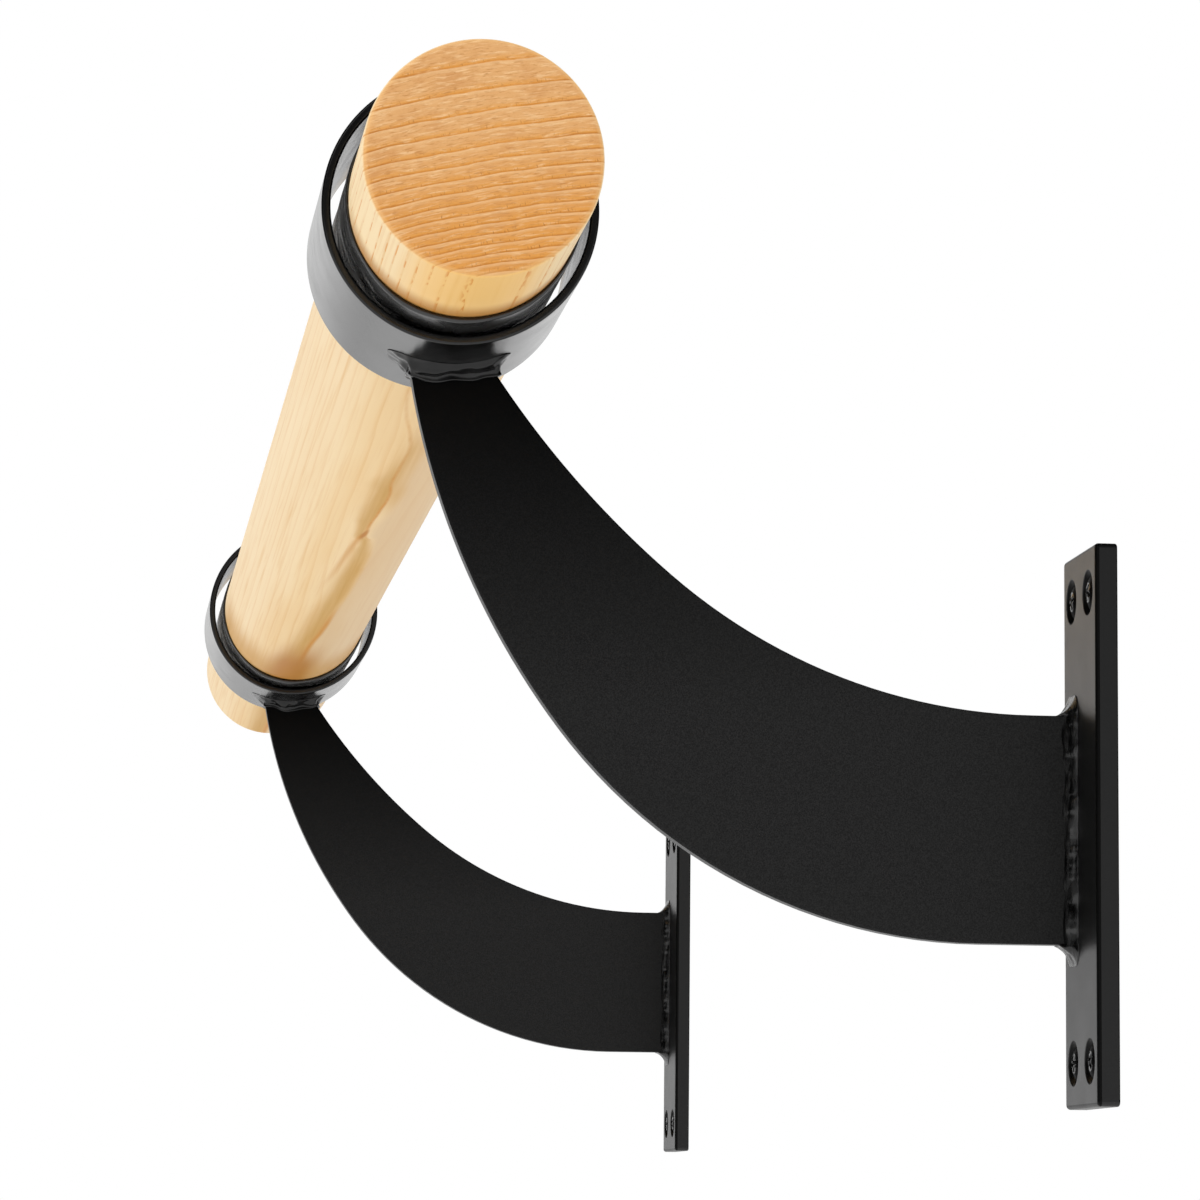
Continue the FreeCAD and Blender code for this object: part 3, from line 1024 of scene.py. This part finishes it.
def sleeve_painted_shade(tree, wood, inside, colour):
    """The side with painted shade on the underside in front of each sleeve, where the ring and the rubber
    shadow the wood.
    """
    far_low, far_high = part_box("left_rubber_sleeve")
    far_start = far_low.x / MM
    far_end = far_high.x / MM
    near_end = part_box("right_rubber_sleeve")[1].x / MM
    near_start = near_end - 45

    # Painted shade by the far sleeve, most of all on the heart streak
    off_middle = calc(tree, "ABSOLUTE", calc(tree, "SUBTRACT", inside, 1.5))
    on_streak = times(tree, step_between(tree, off_middle, 11.0, 3.0), wood.below)
    on_streak = times(tree, on_streak, step_between(tree, wood.x, far_end + 110, far_end + 40))
    beside = times(tree, step_between(tree, wood.x, far_end + 75, far_end + 15), 0.9)
    beside = times(tree, beside, step_between(tree, wood.z, 4.0, -8.0))
    uneven = spread_between(tree, wood.wave, 0.7, 1.1)
    uneven = times(tree, uneven, step_between(tree, wood.x, far_start, far_end))
    colour = mix_colour(tree, times(tree, beside, uneven), colour, PAINTED_SLEEVE_SHADE)
    colour = mix_colour(tree, times(tree, on_streak, uneven), colour, PAINTED_SLEEVE_SHADE_ON_STREAK)

    # Painted contact shade by the near sleeve
    contact_shade = times(tree, step_between(tree, wood.x, near_end + 13, near_end + 1), wood.below)
    contact_shade = times(tree, contact_shade, step_between(tree, wood.x, near_start, near_end))
    return mix_colour(tree, times(tree, contact_shade, 0.8), colour, PAINTED_CONTACT_SHADE)


def wood_material():
    """Pale lacquered maple: growth rings about a pith outside the barre, on its ends and along its sides."""
    material, tree, surface = new_material("maple_lacquered")
    wood = wood_places(tree)
    end_colour, end_height = end_grain(tree, wood)
    side_colour, side_height = long_grain(tree, wood)
    streak_edge = curve_through(tree, wood.x, STREAK_EDGE)
    sway = calc(tree, "MULTIPLY_ADD", wood.wave, 0.7, -0.35)
    inside = calc(tree, "ADD", calc(tree, "SUBTRACT", streak_edge, wood.y), sway)
    side_colour = heart_streak(tree, wood, inside, sway, side_colour)
    side_colour = warm_under_near_end(tree, wood, side_colour)
    side_colour = sleeve_painted_shade(tree, wood, inside, side_colour)

    # The ends are where the surface faces along the barre
    normal = add(tree, "ShaderNodeTexCoord").outputs["Normal"]
    facing = add(tree, "ShaderNodeSeparateXYZ", {0: normal}).outputs[0]
    facing = calc(tree, "ABSOLUTE", facing)
    on_end = step_between(tree, facing, 0.3, 0.75)
    rim = times(tree, step_between(tree, facing, 0.99, 0.8), 0.35)
    end_colour = mix_colour(tree, rim, end_colour, END_RIM)
    tree.links.new(mix_colour(tree, on_end, side_colour, end_colour), surface.inputs["Base Color"])
    tree.links.new(spread_between(tree, on_end, 0.5, 0.65), surface.inputs["Roughness"])
    surface.inputs["IOR"].default_value = 1.22
    height = add(tree, "ShaderNodeMix", {0: on_end, 2: side_height, 3: end_height}).outputs[0]
    relief(tree, surface, height, 0.2, 0.15 * MM)
    return material


# Stage

def floor():
    mesh = bpy.data.meshes.new("floor")
    bm = bmesh.new()
    bmesh.ops.create_grid(bm, x_segments=1, y_segments=1, size=FLOOR_SIZE / 2)
    bm.to_mesh(mesh)
    bm.free()
    ground = bpy.data.objects.new("floor", mesh)
    ground.location = (0, 0, barre_low.z - FLOOR_DROP)
    bpy.context.scene.collection.objects.link(ground)
    material, _, surface = new_material("floor_pale")
    surface.inputs["Base Color"].default_value = FLOOR_COLOUR
    surface.inputs["Roughness"].default_value = 0.9
    mesh.materials.append(material)


def world():
    """A white surround for the eye, with light from all round.

    Reflections see it white behind the object and dim behind the camera, with a glow low down.
    """
    surround = bpy.data.worlds.new("white_surround")
    bpy.context.scene.world = surround
    surround.use_nodes = True
    tree = surround.node_tree
    background = tree.nodes["Background"]
    background.inputs["Color"].default_value = (1, 1, 1, 1)
    path = add(tree, "ShaderNodeLightPath").outputs
    way = add(tree, "ShaderNodeTexCoord").outputs["Generated"]
    x, _, z = add(tree, "ShaderNodeSeparateXYZ", {0: way}).outputs
    tilt = vector_calc(tree, "DOT_PRODUCT", way, AMBIENT_TILT).outputs["Value"]
    ambient = calc(tree, "ADD", tilt, AMBIENT_LEVEL)
    low_glow = step_between(tree, z, 0.2, 0.08)
    dim_side = times(tree, spread_between(tree, low_glow, 0.04, 0.75), step_between(tree, x, 0.3, 0.9))
    backdrop = step_between(tree, x, -0.75, -0.95)
    backdrop_level = spread_between(tree, step_between(tree, z, -0.2, 0.1), 0.6, 1.0)
    mirrored = add(tree, "ShaderNodeMix", {0: backdrop, 2: dim_side, 3: backdrop_level}).outputs[0]
    seen = calc(tree, "MAXIMUM", path["Is Camera Ray"], path["Is Transmission Ray"])
    strength = add(tree, "ShaderNodeMix", {0: path["Is Glossy Ray"], 2: ambient, 3: mirrored}).outputs[0]
    strength = add(tree, "ShaderNodeMix", {0: seen, 2: strength, 3: 1.0}).outputs[0]
    tree.links.new(strength, background.inputs["Strength"])


def lamp(name, place, target, size, power):
    light = bpy.data.lights.new(name, "AREA")
    light.shape = "DISK"
    light.size = size
    light.energy = power
    holder = bpy.data.objects.new(name, light)
    bpy.context.scene.collection.objects.link(holder)
    holder.location = place
    holder.rotation_euler = (target - place).to_track_quat("-Z", "Y").to_euler()


def camera():
    """The photograph's view: from below the right end, looking along the barre."""
    place = Vector((1.3540, -0.2297, -0.0868))
    yaw = math.radians(6.68)
    pitch = math.radians(7.588)
    roll = math.radians(0.53)
    forward = Vector((-math.cos(yaw) * math.cos(pitch), math.sin(yaw) * math.cos(pitch), math.sin(pitch)))
    level = Vector((math.sin(yaw), math.cos(yaw), 0))
    upright = level.cross(forward)
    right = level * math.cos(roll) + upright * math.sin(roll)
    up = upright * math.cos(roll) - level * math.sin(roll)
    lens = bpy.data.cameras.new("photo_view")
    lens.lens = 140.0
    lens.sensor_width = 36.0
    lens.clip_start = 0.05
    viewer = bpy.data.objects.new("photo_view", lens)
    bpy.context.scene.collection.objects.link(viewer)
    axes = Matrix((right, up, -forward)).transposed().to_4x4()
    viewer.matrix_world = Matrix.Translation(place) @ axes
    bpy.context.scene.camera = viewer


def build():
    ring_flow = (0.35, 0.2, 0.35)
    plate_flow = (0.7, 0.7, 0.2)
    ring_coat = coat_material("powder_coat_ring", INKY, DEEP, (0.12, 0.24), gloss=1.5, peel=0.006)
    arm_coat = coat_material("powder_coat_arm", SOFT, WORN_AND_SHEEN, (0.26, 0.34), gloss=1.15, peel=0.01, shaded=True)
    plate_coat = coat_material("powder_coat_plate", INKY, DEEP, (0.33, 0.4), gloss=1.5, peel=0.02)
    # A duller copy of the plate's coat, for painted shade on its rounded front edges and in its holes
    shaded_edge_coat = coat_material("powder_coat_shaded_edge", INKY, DEEP, (0.3, 0.4), gloss=1.2, peel=0.01)
    # The welds' paler colours are painted highlights on their lumps
    ring_weld_coat = coat_material(
        "powder_coat_ring_weld", INKY, SOFT, (0.13, 0.22), gloss=1.45, peel=0.01, lumps=0.08, flow=ring_flow
    )
    plate_weld_coat = coat_material(
        "powder_coat_plate_weld", INKY, WORN_AND_SHEEN, (0.16, 0.26), gloss=1.5, peel=0.02, lumps=0.35, flow=plate_flow
    )
    # Two copies of the screws' coat: a nearly unreflective one that paints the heads dark, and a glossy one
    # that glints in the recesses
    screw_head = coat_material("screw_head", INKY, DEEP, (0.3, 0.4), gloss=1.06, peel=0.002)
    screw_recess = coat_material("screw_recess", INKY, DEEP, (0.08, 0.14), gloss=1.5, peel=0.002)
    rubber = rubber_material()
    wood_barre(wood_material())
    for side in SIDES:
        ring(side, ring_coat)
        arm(side, arm_coat)
        wall_plate(side, plate_coat, shaded_edge_coat)
        ring_weld(side, ring_weld_coat)
        plate_weld(side, plate_weld_coat)
        rubber_sleeve(side, rubber)
        wall_screws(side, screw_head, screw_recess)


build()
floor()
world()
lamp("key_by_the_camera", LAMP_TARGET + LAMP_WAY * LAMP_DISTANCE, LAMP_TARGET, LAMP_SIZE, LAMP_POWER)
camera()
bpy.context.scene.view_settings.view_transform = "Standard"
bpy.context.view_layer.update()
